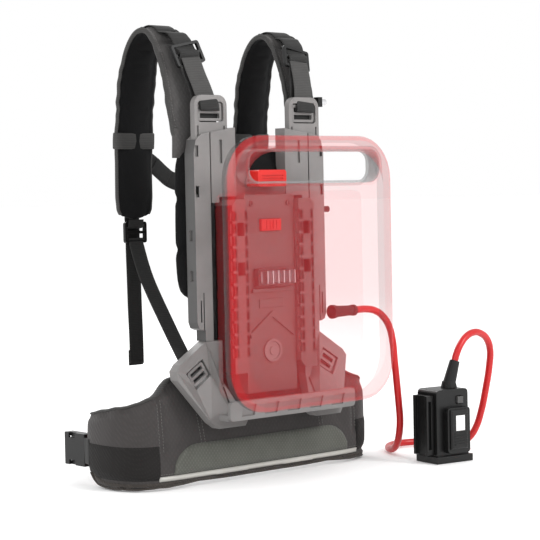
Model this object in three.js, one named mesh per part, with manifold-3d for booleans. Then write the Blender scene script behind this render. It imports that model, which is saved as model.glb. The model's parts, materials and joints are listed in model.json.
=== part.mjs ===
// Backpack battery harness: a plastic carrier frame with shoulder straps and a hip belt, a lift-off
// battery, and a power cable with a tool adapter. Millimetres, +Z up, +Y towards the wearer.
import * as THREE from 'three';
import { mergeVertices } from 'three/addons/utils/BufferGeometryUtils.js';
import Module from 'manifold-3d';

const wasm = await Module();
wasm.setup();

// ---------------------------------------------------------------- driving dimensions
const GAP = 0.3; // between solids that touch
const FRAME_BACK = 0; // wearer side of the carrier frame, before the group is centred
const RAIL_FRONT = -20;
const RAIL = { outer: 119, bar: 91, inner: 45.5, bottom: 196, shoulder: 392, topOuter: 478, topInner: 487 };
const CHANNEL = { inner: 45.5, outer: 75.5, front: -46, bottom: 150, top: 388 };
const PANEL = { half: 45.2, front: -36, skin: -31, back: -8, bottom: 120, top: 394 };
const SLIDER = { inner: 57, outer: 114, front: -17, back: -8, bottom: 412, top: 531 };
const WINDOW = { centre: 85.5, width: 45, bottom: 494, height: 28 };
const BRACKET = { x: 119, z: 152, width: 34, height: 27, tilt: 32 };
const STRUT = { slant: 0.58, bendZ: 138, depth: 16 }; // the struts lean forward below the bend
const STRUT_TOP = RAIL.bottom - GAP;
const SHELF = {
  half: 115, tongue: 54, back: -10, top: 100, thickness: 8, front: -76, notch: -57, lipTop: 118,
};
const BATTERY = { half: 148, bottom: 106, top: 472, front: -134, split: -108, radius: 58, wall: 3 };
const HANDLE = { half: 120, bottom: 408, top: 454, radius: 18, wall: 3 };
const REAR = { half: 110, top: 398, back: -47, foot: 102, channel: 38, channelTop: 322 };
const CELL = { radius: 10.6, length: 70, columns: 3, rows: 12, pitch: 22, bottom: 131, y: -101 };
const TERMINAL = { half: 30, bottom: 268, top: 292, blades: 6, bladeDepth: 13 };
const STRAP = { x: 108, width: 66, neck: 0.85, thickness: 15 };
const WEBBING = { wide: 38, narrow: 25, thickness: 2.2 };
const BELT = { thickness: 26, height: 150, split: 158, endY: 108, lean: 0.17 };
const BELT_CORNER = { run: 60, rise: 42 }; // rounding under the belt's ends
// hip belt buckle halves
const BUCKLE = { start: 111, end: 158, x: 212, thickness: 14, bottom: 24, top: 69 };
const CABLE = { diameter: 10.5, sides: 10 };
const GLAND = { start: RAIL.outer + GAP, end: 165, y: -30, z: 223 };
const ADAPTER = { x: 262, y: -112, width: 58, depth: 44, height: 106, turn: -8 };
const CENTRE_Y = -(BATTERY.front + BUCKLE.end) / 2; // moves the middle of the box to Y = 0

// ---------------------------------------------------------------- finishes
const FINISH = {
  frame: { color: 0x8e8a88, roughness: 0.55, metalness: 0 },
  dark: { color: 0x3c3b3a, roughness: 0.6, metalness: 0 },
  black: { color: 0x1c1c1c, roughness: 0.5, metalness: 0 },
  ghost: { color: 0xe06a6c, roughness: 0.25, metalness: 0 },
  red: { color: 0xd42a26, roughness: 0.4, metalness: 0 },
  fabric: { color: 0x35322f, roughness: 0.95, metalness: 0 },
  webbing: { color: 0x242322, roughness: 0.9, metalness: 0 },
  steel: { color: 0xb8b8ba, roughness: 0.3, metalness: 1 },
  cell: { color: 0x9aa0a4, roughness: 0.4, metalness: 1 },
  board: { color: 0x2e5a3a, roughness: 0.5, metalness: 0 },
};

const object = new THREE.Group();
object.position.set(0, CENTRE_Y, 0);

// ---------------------------------------------------------------- solids
function solid(geometry) {
  const bare = geometry.clone();
  bare.deleteAttribute('normal');
  bare.deleteAttribute('uv');
  const merged = mergeVertices(bare, 1e-4);
  const vertProperties = new Float32Array(merged.attributes.position.array);
  const triVerts = new Uint32Array(merged.index.array);
  return new wasm.Manifold(new wasm.Mesh({ numProp: 3, vertProperties, triVerts }));
}

function geometryOf(manifold) {
  const mesh = manifold.getMesh();
  const geometry = new THREE.BufferGeometry();
  geometry.setAttribute('position', new THREE.BufferAttribute(new Float32Array(mesh.vertProperties), 3));
  geometry.setIndex(new THREE.BufferAttribute(new Uint32Array(mesh.triVerts), 1));
  geometry.computeVertexNormals();
  return geometry;
}

function carve(base, cuts) {
  const carved = cuts.reduce((rest, cut) => rest.subtract(solid(cut)), solid(base));
  return geometryOf(carved);
}

function fuse(...pieces) {
  const [first, ...others] = pieces.map(solid);
  return geometryOf(others.reduce((whole, piece) => whole.add(piece), first));
}

function common(a, b) {
  return geometryOf(solid(a).intersect(solid(b)));
}

function block(x0, x1, y0, y1, z0, z1) {
  const geometry = new THREE.BoxGeometry(x1 - x0, y1 - y0, z1 - z0);
  geometry.translate((x0 + x1) / 2, (y0 + y1) / 2, (z0 + z1) / 2);
  return geometry;
}

function rod(radius, from, to, sides = 16, endRadius = radius) {
  const a = new THREE.Vector3(...from);
  const b = new THREE.Vector3(...to);
  const along = b.clone().sub(a);
  const geometry = new THREE.CylinderGeometry(endRadius, radius, along.length(), sides);
  const turn = new THREE.Quaternion().setFromUnitVectors(new THREE.Vector3(0, 1, 0), along.normalize());
  geometry.applyQuaternion(turn);
  const middle = a.add(b).multiplyScalar(0.5);
  geometry.translate(middle.x, middle.y, middle.z);
  return geometry;
}

function extrude(shape, depth, curveSegments = 5) {
  return new THREE.ExtrudeGeometry(shape, { depth, bevelEnabled: false, curveSegments });
}

// A front outline in X and Z, extruded through Y.
function frontPlate(shape, yFront, yBack, curveSegments) {
  const geometry = extrude(shape, yBack - yFront, curveSegments);
  geometry.rotateX(Math.PI / 2);
  geometry.translate(0, yBack, 0);
  return geometry;
}

// A side outline in Y and Z, extruded through X.
function sidePlate(shape, x0, x1, curveSegments) {
  const geometry = extrude(shape, x1 - x0, curveSegments);
  const axes = new THREE.Matrix4().makeBasis(
    new THREE.Vector3(0, 1, 0), new THREE.Vector3(0, 0, 1), new THREE.Vector3(1, 0, 0));
  geometry.applyMatrix4(axes);
  geometry.translate(x0, 0, 0);
  return geometry;
}

// A plan outline in X and Y, extruded upwards.
function planPlate(shape, z0, z1, curveSegments) {
  const geometry = extrude(shape, z1 - z0, curveSegments);
  geometry.translate(0, 0, z0);
  return geometry;
}

function polygon(points) {
  return new THREE.Shape(points.map(([x, y]) => new THREE.Vector2(x, y)));
}

function roundedRect(x0, x1, y0, y1, radius) {
  const shape = new THREE.Shape();
  shape.absarc(x1 - radius, y1 - radius, radius, 0, Math.PI / 2);
  shape.absarc(x0 + radius, y1 - radius, radius, Math.PI / 2, Math.PI);
  shape.absarc(x0 + radius, y0 + radius, radius, Math.PI, Math.PI * 1.5);
  shape.absarc(x1 - radius, y0 + radius, radius, Math.PI * 1.5, Math.PI * 2);
  return shape;
}

// The outline of a strip of even thickness along a smooth line.
function strip(points, thickness, steps) {
  const line = new THREE.SplineCurve(points.map(([x, y]) => new THREE.Vector2(x, y)));
  const left = [];
  const right = [];
  for (let i = 0; i <= steps; i += 1) {
    const at = line.getPointAt(i / steps);
    const along = line.getTangentAt(i / steps);
    const side = new THREE.Vector2(-along.y, along.x).multiplyScalar(thickness / 2);
    left.push(at.clone().add(side));
    right.unshift(at.clone().sub(side));
  }
  return new THREE.Shape([...left, ...right]);
}

// Moves every vertex by a rule of its own place.
function moved(geometry, rule) {
  const position = geometry.attributes.position;
  const point = new THREE.Vector3();
  for (let i = 0; i < position.count; i += 1) {
    point.fromBufferAttribute(position, i);
    rule(point);
    position.setXYZ(i, point.x, point.y, point.z);
  }
  return geometry;
}

// The mirror image in X, with each triangle turned over so that it still faces out.
function mirrored(geometry) {
  const flat = geometry.index ? geometry.toNonIndexed() : geometry.clone();
  const position = flat.attributes.position;
  const image = new Float32Array(position.count * 3);
  for (let i = 0; i < position.count; i += 1) {
    const corner = i - (i % 3) + (2 - (i % 3));
    image.set([-position.getX(corner), position.getY(corner), position.getZ(corner)], i * 3);
  }
  const result = new THREE.BufferGeometry();
  result.setAttribute('position', new THREE.BufferAttribute(image, 3));
  result.computeVertexNormals();
  return result;
}

function add(name, geometry, finish) {
  const mesh = new THREE.Mesh(geometry, new THREE.MeshStandardMaterial(FINISH[finish]));
  mesh.name = name;
  object.add(mesh);
}

// Right-hand pieces are drawn at positive X, and the left-hand ones are their mirror images.
function addPair(name, geometry, finish) {
  add(`right_${name}`, geometry, finish);
  add(`left_${name}`, mirrored(geometry), finish);
}

// ---------------------------------------------------------------- carrier frame
function rail() {
  const outline = polygon([
    [RAIL.outer, 222], [RAIL.outer, 452], [RAIL.outer - 4, 470], [RAIL.outer - 14, RAIL.topOuter],
    [RAIL.inner, RAIL.topInner], [RAIL.inner, RAIL.shoulder], [76, RAIL.shoulder], [76, RAIL.bottom],
    [105, RAIL.bottom], [105, 211], [RAIL.outer - 10, 211], [RAIL.outer - 3, 214],
  ]);
  const pocket = block(SLIDER.inner - 0.5, SLIDER.outer + 0.5, SLIDER.front - 0.5, SLIDER.back + 0.5,
    396, 500);
  const cuts = [
    pocket,
    block(76 - 1, RAIL.bar - 2, RAIL_FRONT - 1, -9, RAIL.bottom - 1, RAIL.shoulder - 8),
    block(RAIL.bar - 2, RAIL.bar, RAIL_FRONT - 1, -17, RAIL.bottom - 1, 500),
    block(111, 116.5, RAIL_FRONT - 1, -16.5, 447, 462),
    block(111, 116.5, RAIL_FRONT - 1, -16.5, 392, 407),
    block(RAIL.outer - 3, RAIL.outer + 1, -14, -6, 333, 347),
    block(RAIL.outer - 3, RAIL.outer + 1, -14, -6, 278, 292),
    block(69, 74, RAIL_FRONT - 1, -17.2, 438, 470),
    block(110.5, 112.5, RAIL_FRONT - 1, -15, 222, 252),
    block(106, 107.5, RAIL_FRONT - 1, -15, 205, 262),
  ];
  return carve(frontPlate(outline, RAIL_FRONT, FRAME_BACK), cuts);
}

function dockChannel() {
  const outline = polygon([
    [CHANNEL.outer, CHANNEL.bottom], [CHANNEL.outer, CHANNEL.top - 8], [CHANNEL.outer - 8, CHANNEL.top],
    [CHANNEL.inner, CHANNEL.top], [CHANNEL.inner, CHANNEL.bottom + 10], [CHANNEL.inner + 9, CHANNEL.bottom],
  ]);
  const cuts = [
    block(CHANNEL.inner + 3, CHANNEL.outer - 3, CHANNEL.front + 3, 1,
      CHANNEL.bottom + 12, CHANNEL.top - 10),
    block(54, 67, CHANNEL.front - 1, CHANNEL.front + 4, 338, 356),
    block(54, 67, CHANNEL.front - 1, CHANNEL.front + 4, 284, 302),
  ];
  const rackPitch = 17;
  for (let z = CHANNEL.bottom + 22; z < CHANNEL.top - 20; z += rackPitch) {
    const depth = [CHANNEL.front - 1, CHANNEL.front + 5];
    cuts.push(block(CHANNEL.inner - 1, CHANNEL.inner + 2.5, ...depth, z, z + 13));
    cuts.push(block(CHANNEL.outer - 2.5, CHANNEL.outer + 1, ...depth, z, z + 13));
  }
  return carve(frontPlate(outline, CHANNEL.front, FRAME_BACK), cuts);
}

function dockPanel() {
  const body = block(-PANEL.half, PANEL.half, PANEL.front, PANEL.back, PANEL.bottom, PANEL.top);
  const roof = polygon([[-40, 196], [-40, 203], [0, 232], [40, 203], [40, 196], [0, 224]]);
  const step = block(-36, 36, PANEL.front - 4, PANEL.front + 1, 259, 264);
  const plate = block(-22, 22, PANEL.front - 1.5, PANEL.front + 1, 237, 249);
  const tie = block(-PANEL.half, PANEL.half, -19, -4, PANEL.top - 1, 424);
  const whole = fuse(body, frontPlate(roof, PANEL.front - 3, PANEL.front + 1), step, plate, tie);
  return carve(whole, [
    block(-41, 41, PANEL.skin, PANEL.back + 1, PANEL.bottom + 6, PANEL.top - 6),
    block(-18.5, 18.5, PANEL.front - 5, PANEL.skin + 1, 343.5, 360.5),
  ]);
}

function footStrut() {
  const outline = polygon([
    [76, STRUT_TOP], [105, STRUT_TOP], [150, 167], [157, 158], [155, 146], [121, 88], [112, 80], [66, 80],
    [59, 86], [76, 138],
  ]);
  const window = block(-BRACKET.width / 2, BRACKET.width / 2, -60, 20,
    -BRACKET.height / 2, BRACKET.height / 2);
  window.rotateY(THREE.MathUtils.degToRad(BRACKET.tilt));
  window.translate(BRACKET.x, 0, BRACKET.z);
  const slit = block(78, 81, RAIL_FRONT - 1, -16, 96, 132);
  const plate = carve(frontPlate(outline, RAIL_FRONT, RAIL_FRONT + STRUT.depth), [window, slit]);
  return moved(plate, leanForward);
}

function leanForward(point) {
  point.y -= Math.max(0, STRUT.bendZ - point.z) * STRUT.slant;
}

function shelf() {
  const outline = polygon([
    [-SHELF.half, SHELF.front], [SHELF.half, SHELF.front],
    [SHELF.half, SHELF.notch], [SHELF.tongue, SHELF.notch],
    [SHELF.tongue, SHELF.back], [-SHELF.tongue, SHELF.back],
    [-SHELF.tongue, SHELF.notch], [-SHELF.half, SHELF.notch],
  ]);
  const plate = planPlate(outline, SHELF.top - SHELF.thickness, SHELF.top);
  const lipOutline = roundedRect(-SHELF.half, SHELF.half, SHELF.top - SHELF.thickness, SHELF.lipTop, 6);
  const lip = frontPlate(lipOutline, SHELF.front - 5, SHELF.front + 1, 2);
  const holes = [];
  const holePitch = 41;
  for (let x = -2 * holePitch; x <= 2 * holePitch; x += holePitch) {
    const hole = polygon([[x - 13, 97.5], [x + 9, 97.5], [x + 13, 112], [x - 9, 112]]);
    holes.push(frontPlate(hole, SHELF.front - 6, SHELF.front - 2));
  }
  return carve(fuse(plate, lip), holes);
}

function screw(x, z, yFace) {
  const head = rod(4, [x, yFace - 2.4, z], [x, yFace, z], 10, 4);
  const recess = block(x - 0.7, x + 0.7, yFace - 3, yFace - 1.3, z - 2.6, z + 2.6);
  return carve(head, [recess]);
}

addPair('rail', rail(), 'frame');
addPair('dock_channel', dockChannel(), 'frame');
addPair('foot_strut', footStrut(), 'frame');
add('dock_panel', dockPanel(), 'frame');
add('battery_shelf', shelf(), 'frame');
addPair('dock_screw', screw(34, 382, PANEL.front - GAP), 'steel');

const padOutline = roundedRect(-128, 128, 250, 462, 26);
add('back_pad', frontPlate(padOutline, FRAME_BACK + GAP, 24, 4), 'fabric');

add('side_peg', rod(4, [RAIL.outer + GAP, -11, 371], [RAIL.outer + 15, -11, 371], 12, 4.6), 'black');

// ---------------------------------------------------------------- dock fittings
const face = PANEL.front - GAP;
add('terminal_housing', block(-TERMINAL.half, TERMINAL.half, -46, face,
  TERMINAL.bottom, TERMINAL.top), 'dark');

function terminalBlades() {
  const front = -46 - GAP;
  const pieces = [block(-27, 27, front - 1.4, front, TERMINAL.bottom + 5, TERMINAL.top - 5)];
  const pitch = 50 / (TERMINAL.blades - 1);
  for (let i = 0; i < TERMINAL.blades; i += 1) {
    const x = -25 + i * pitch;
    pieces.push(block(x - 0.8, x + 0.8, front - TERMINAL.bladeDepth, front - 1,
      TERMINAL.bottom + 3, TERMINAL.top - 3));
  }
  return fuse(...pieces);
}
add('terminal_blades', terminalBlades(), 'steel');

function ringBoss() {
  const disc = rod(16, [0, face - 3, 205], [0, face, 205], 28);
  const groove = carve(rod(12.5, [0, face - 4, 205], [0, face - 1.5, 205], 24), [
    rod(6, [0, face - 5, 205], [0, face, 205], 16)]);
  return carve(disc, [groove]);
}
add('cable_ring_boss', moved(ringBoss(), (p) => { p.z -= 28; }), 'frame');

function latch() {
  const tab = frontPlate(roundedRect(-26, 26, 405, 428, 4), -44, -19 - GAP, 3);
  const grips = [0, 1, 2].map((i) => block(-20, 20, -45, -42.8, 411 + i * 4, 412.6 + i * 4));
  return carve(tab, grips);
}
add('battery_latch', latch(), 'red');

function lockButton() {
  const cap = block(-18, 18, PANEL.front - 4, PANEL.skin + 3, 344, 360);
  const grooves = [-9, -3, 3, 9].map(
    (x) => block(x - 1, x + 1, PANEL.front - 5, PANEL.front - 3, 346, 358));
  return carve(cap, grooves);
}
add('lock_button', lockButton(), 'red');

// ---------------------------------------------------------------- strap sliders and their buckles
function slider() {
  const outline = roundedRect(SLIDER.inner, SLIDER.outer, SLIDER.bottom, SLIDER.top, 14);
  const half = WINDOW.width / 2;
  const hole = roundedRect(WINDOW.centre - half, WINDOW.centre + half, WINDOW.bottom,
    WINDOW.bottom + WINDOW.height, 5);
  return carve(frontPlate(outline, SLIDER.front, SLIDER.back, 4), [
    frontPlate(hole, SLIDER.front - 1, SLIDER.back + 1, 2),
    block(61, 63.5, SLIDER.front - 1, SLIDER.front + 2.5, 470, 489),
    block(107, 109.5, SLIDER.front - 1, SLIDER.front + 2.5, 470, 489),
  ]);
}

// A ladder-lock: a rounded frame with two slots, drawn flat in X and Z about its own middle.
function ladderLock(width, height, thickness) {
  const frame = roundedRect(-width / 2, width / 2, -height / 2, height / 2, 3.5);
  const bar = 4;
  const slot = (height - 3 * bar) / 2;
  const inner = width / 2 - bar;
  const slots = [-1, 1].map((side) => {
    const middle = side * (bar + slot) / 2;
    return block(-inner, inner, -thickness, thickness, middle - slot / 2, middle + slot / 2);
  });
  return carve(frontPlate(frame, -thickness / 2, thickness / 2, 2), slots);
}

function sliderBuckle() {
  const buckle = ladderLock(WINDOW.width - 3, WINDOW.height - 3, 4.5);
  buckle.translate(WINDOW.centre, -12.5, WINDOW.bottom + WINDOW.height / 2);
  return buckle;
}

function bracketBuckle() {
  const buckle = ladderLock(BRACKET.width - 4, BRACKET.height - 4, 4.5);
  buckle.rotateY(THREE.MathUtils.degToRad(BRACKET.tilt));
  buckle.translate(BRACKET.x, -16, BRACKET.z);
  return moved(buckle, leanForward);
}

addPair('strap_slider', slider(), 'frame');
addPair('slider_buckle', sliderBuckle(), 'frame');
addPair('bracket_buckle', bracketBuckle(), 'frame');

// ---------------------------------------------------------------- shoulder straps
const strapLine = [[10, 470], [13, 500], [20, 540], [30, 575], [42, 602], [60, 622], [84, 620], [105, 597],
  [118, 560], [127, 500], [131, 440], [132, 362]];

// The strap is narrower where it leaves the frame than over the chest.
function shoulderStrap() {
  const half = STRAP.width / 2;
  const pad = sidePlate(strip(strapLine, STRAP.thickness, 28), STRAP.x - half, STRAP.x + half);
  return moved(pad, (p) => {
    const share = STRAP.neck + (1 - STRAP.neck) * THREE.MathUtils.smoothstep(p.y, 20, 110);
    p.x = STRAP.x + (p.x - STRAP.x) * share;
  });
}
addPair('shoulder_strap', shoulderStrap(), 'fabric');

// Webbing drawn from below upwards in Y and Z, which drifts sideways by `drift` over its height.
function webbingStrip(points, x, width, steps, drift) {
  const geometry = sidePlate(strip(points, WEBBING.thickness, steps), x - width / 2, x + width / 2);
  const bottom = points[0][1];
  const rise = points[points.length - 1][1] - bottom;
  return moved(geometry, (p) => { p.x += drift * (p.z - bottom) / rise; });
}

const lifterLine = [[-5.5, 494], [-5.5, 520], [-1, 545], [5.5, 566]];
const lifterDrift = 12;
addPair('lifter_webbing', webbingStrip(lifterLine, WINDOW.centre, WEBBING.wide, 6, lifterDrift), 'webbing');

function lifterBuckle() {
  const buckle = ladderLock(48, 32, 5);
  buckle.rotateX(THREE.MathUtils.degToRad(-18));
  buckle.rotateY(THREE.MathUtils.degToRad(12));
  buckle.translate(WINDOW.centre + lifterDrift + 2, 13, 588);
  return buckle;
}
addPair('lifter_buckle', lifterBuckle(), 'black');

function endBuckle() {
  const buckle = ladderLock(38, 30, 5);
  buckle.translate(STRAP.x - 2, 134, 344);
  return buckle;
}
addPair('strap_end_buckle', endBuckle(), 'black');

const lowerLine = [[-1, 160], [45, 212], [100, 278], [130, 326]];
addPair('lower_webbing', webbingStrip(lowerLine, BRACKET.x + 1, WEBBING.narrow, 4, -14), 'webbing');
addPair('webbing_tail', block(STRAP.x - 16, STRAP.x + 9, 139, 139 + WEBBING.thickness, 152, 350), 'webbing');

function chestWebbing() {
  const line = [[72, 446], [52, 430], [38, 420], [25, 415]];
  return frontPlate(strip(line, WEBBING.narrow, 5), 140, 140 + WEBBING.thickness);
}
addPair('chest_webbing', chestWebbing(), 'webbing');
add('chest_buckle_plug', block(0.6, 18, 137, 146, 398, 425), 'black');
add('chest_buckle_socket', carve(block(-18, -0.4, 137, 146, 398, 425), [
  block(-13, 1, 139, 144, 403, 420)]), 'black');

add('strap_clip', block(SLIDER.outer + GAP, SLIDER.outer + 8, -17, -7, 518, 532), 'black');
add('clip_pin', rod(4.5, [SLIDER.outer + 8 + GAP, -12, 525], [SLIDER.outer + 17, -12, 525], 12), 'steel');

// ---------------------------------------------------------------- hip belt
const beltLine = [[0, -12], [100, -12], [165, -9], [200, 4], [216, 30], [218, 68], [212, BELT.endY]];

// The belt is highest behind the frame, drops round the hips, and its lower corners are rounded.
function beltShape(point) {
  const side = Math.abs(point.x);
  const round = THREE.MathUtils.smoothstep(side, 130, 215);
  const towardsEnd = THREE.MathUtils.clamp(point.y / BELT.endY, 0, 1);
  if (point.z > BELT.height / 2) {
    point.z -= 30 * round + 12 * towardsEnd * round;
  } else if (point.y > BELT.endY - BELT_CORNER.run && side > BELT.split) {
    const into = Math.min(1, (point.y - BELT.endY + BELT_CORNER.run) / BELT_CORNER.run);
    point.z += BELT_CORNER.rise * (1 - Math.sqrt(1 - into * into * 0.95));
  }
  point.y += BELT.lean * point.z * (1 - THREE.MathUtils.smoothstep(side, 140, 200));
}

function hipBelt() {
  const wholeLine = [...beltLine.slice(1).reverse().map(([x, y]) => [-x, y]), ...beltLine];
  return moved(planPlate(strip(wholeLine, BELT.thickness, 52), 0, BELT.height), beltShape);
}
const belt = hipBelt();
add('belt_centre_pad', common(belt, block(-BELT.split, BELT.split, -80, 200, -5, 200)), 'fabric');
addPair('belt_wing', common(belt, block(BELT.split + GAP, 260, -80, 200, -5, 200)), 'fabric');

function buckleSocket() {
  const { start, end, x, thickness, bottom, top } = BUCKLE;
  const x0 = -x - thickness / 2;
  const x1 = -x + thickness / 2;
  const body = block(x0, x1, start, end, bottom, top);
  return carve(body, [
    block(x0 + 3, x1 - 3, start + 18, end + 1, bottom + 5, top - 5),
    block(x0 - 1, x0 + 4, start + 22, end - 10, bottom - 1, bottom + 7),
    block(x0 - 1, x0 + 4, start + 22, end - 10, top - 7, top + 1),
  ]);
}
add('left_belt_buckle_socket', buckleSocket(), 'black');

function bucklePlug() {
  const { start, end, x, thickness, bottom, top } = BUCKLE;
  const x0 = x - thickness / 2;
  const x1 = x + thickness / 2;
  const body = block(x0, x1, start, start + 18, bottom, top);
  const middle = (bottom + top) / 2;
  const prongs = [-15, 0, 15].map(
    (dz) => block(x0 + 4, x1 - 4, start + 17, end, middle + dz - 3, middle + dz + 3));
  return fuse(body, ...prongs);
}
add('right_belt_buckle_plug', bucklePlug(), 'black');

// ---------------------------------------------------------------- battery
function scallops() {
  const cuts = [];
  for (const side of [-1, 1]) {
    for (const z of [218, 330]) {
      const x = side * (BATTERY.half + 4.5);
      cuts.push(rod(9, [x, BATTERY.front - 10, z], [x, BATTERY.split + 10, z], 14));
    }
  }
  return cuts;
}

function frontShell() {
  const { half, bottom, top, front, split, radius, wall } = BATTERY;
  const body = frontPlate(roundedRect(-half, half, bottom, top, radius), front, split, 7);
  const inside = frontPlate(roundedRect(-half + wall, half - wall, bottom + wall, HANDLE.bottom - 7, 22),
    front + wall, split + 1, 4);
  const hole = frontPlate(roundedRect(-HANDLE.half, HANDLE.half, HANDLE.bottom, HANDLE.top, HANDLE.radius),
    front - 1, split + 1, 5);
  return carve(body, [inside, hole, ...scallops()]);
}
add('battery_front_shell', frontShell(), 'ghost');

function rearShell() {
  const front = BATTERY.split + GAP;
  const outline = roundedRect(-REAR.half, REAR.half, SHELF.lipTop + 2, REAR.top, 12);
  const body = frontPlate(outline, front, REAR.back, 3);
  const foot = block(-REAR.half + 6, REAR.half - 6, SHELF.front + 1, REAR.back - 2,
    REAR.foot, SHELF.lipTop + 12);
  const inside = frontPlate(roundedRect(-REAR.half + 3, REAR.half - 3, SHELF.lipTop + 6, REAR.top - 3, 4),
    front - 1, REAR.back - 3, 3);
  const channel = block(-REAR.channel, REAR.channel, -75, REAR.back + 1, REAR.foot - 1, REAR.channelTop);
  return carve(fuse(body, foot), [inside, channel]);
}
add('battery_rear_shell', rearShell(), 'ghost');

function gripSleeve() {
  const gap = GAP;
  const outer = roundedRect(-HANDLE.half + gap, HANDLE.half - gap,
    HANDLE.bottom + gap, HANDLE.top - gap, HANDLE.radius - gap);
  const inset = gap + HANDLE.wall;
  const inner = roundedRect(-HANDLE.half + inset, HANDLE.half - inset,
    HANDLE.bottom + inset, HANDLE.top - inset, HANDLE.radius - inset);
  return carve(frontPlate(outer, BATTERY.front + 1, BATTERY.split - 1, 4), [
    frontPlate(inner, BATTERY.front, BATTERY.split, 4)]);
}
add('battery_grip_sleeve', gripSleeve(), 'dark');

function batterySocket() {
  return carve(block(-34, 34, -72, -50, 262, 317), [
    block(-31, 31, -66, -49, 261, 306)]);
}
add('battery_socket', batterySocket(), 'black');

// Cells lie side by side along X in three columns, joined by the holders between them.
function cellPack() {
  const outline = [];
  const lobes = 4;
  const fill = 0.96;
  for (const side of [1, -1]) {
    for (let row = 0; row < CELL.rows; row += 1) {
      const index = side > 0 ? row : CELL.rows - 1 - row;
      const z = CELL.bottom + (index + 0.5) * CELL.pitch;
      for (let k = 0; k <= lobes; k += 1) {
        const angle = (k / lobes - 0.5) * Math.PI * 0.8;
        outline.push([CELL.y + side * CELL.radius * Math.cos(angle),
          z + side * CELL.radius * fill * Math.sin(angle)]);
      }
    }
  }
  const half = (CELL.columns * CELL.length) / 2;
  const cells = sidePlate(polygon(outline.reverse()), -half, half);
  const cuts = [-0.5, 0.5].flatMap((at) => {
    const x = at * CELL.length;
    return [
      block(x - 0.8, x + 0.8, -120, CELL.y - 5, 120, 400),
      block(x - 0.8, x + 0.8, CELL.y + 5, -80, 120, 400),
    ];
  });
  return carve(cells, cuts);
}
add('cell_pack', cellPack(), 'cell');
add('battery_board', block(-60, 60, -84, -82, 340, 385), 'board');

// ---------------------------------------------------------------- cable and adapter
function gland() {
  const { start, end, y, z } = GLAND;
  const collar = rod(10, [start, y, z], [start + 6, y, z], 16);
  const sleeve = rod(8.6, [start + 5, y, z], [end - 4, y, z], 16, 7.2);
  const ring = rod(8.2, [end - 5, y, z], [end, y, z], 16);
  return fuse(collar, sleeve, ring);
}
add('cable_strain_relief', gland(), 'black');

function placeAdapter(geometry) {
  geometry.rotateZ(THREE.MathUtils.degToRad(ADAPTER.turn));
  geometry.translate(ADAPTER.x, ADAPTER.y, 0);
  return geometry;
}

function adapterHousing() {
  const { width, depth, height } = ADAPTER;
  const body = frontPlate(roundedRect(-width / 2, width / 2, 0, height, 6), -depth / 2, depth / 2, 2);
  const ledge = block(-width / 2 - 4, width / 2 + 4, -depth / 2 - 5, depth / 2, 0, 10);
  return carve(fuse(body, ledge), [
    block(-width / 2 - 1, -width / 2 + 12, -depth / 2 + 8, depth / 2 - 8, 66, 78),
    block(7, 19, -depth / 2 - 1, -depth / 2 + 7, 84, 96),
  ]);
}

function adapterRailBlock() {
  const x = -ADAPTER.width / 2 - GAP;
  const body = block(x - 13, x, -16, 16, 12, 98);
  return carve(body, [
    block(x - 14, x - 9, -11, 11, 11, 99),
    block(x - 10, x - 5, -17, -12, 20, 90),
    block(x - 10, x - 5, 12, 17, 20, 90),
  ]);
}

function adapterBoss() {
  const y = -ADAPTER.depth / 2 - GAP;
  const body = frontPlate(roundedRect(-16, 25, 14, 80, 5), y - 9, y, 2);
  return carve(body, [block(-10, 14, y - 10, y - 8.4, 50, 72)]);
}

const RELIEF = { x: 12, y: 0, z: ADAPTER.height + GAP, length: 34, lean: 20 };
const reliefTip = [
  RELIEF.x + RELIEF.length * Math.sin(THREE.MathUtils.degToRad(RELIEF.lean)), RELIEF.y,
  RELIEF.z + 6 + RELIEF.length * Math.cos(THREE.MathUtils.degToRad(RELIEF.lean)),
];

function adapterRelief() {
  const base = rod(12, [RELIEF.x, RELIEF.y, RELIEF.z], [RELIEF.x, RELIEF.y, RELIEF.z + 9], 16, 10);
  const sleeve = rod(9.5, [RELIEF.x, RELIEF.y, RELIEF.z + 4], reliefTip, 16, 7.4);
  return fuse(base, sleeve);
}

add('adapter_housing', placeAdapter(adapterHousing()), 'black');
add('adapter_rail_block', placeAdapter(adapterRailBlock()), 'black');
add('adapter_cover', placeAdapter(adapterBoss()), 'black');
add('adapter_strain_relief', placeAdapter(adapterRelief()), 'black');
const catchBlock = block(8, 18, -ADAPTER.depth / 2 - 3, -ADAPTER.depth / 2 + 3, 85, 95);
add('adapter_catch', placeAdapter(catchBlock), 'dark');

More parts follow.
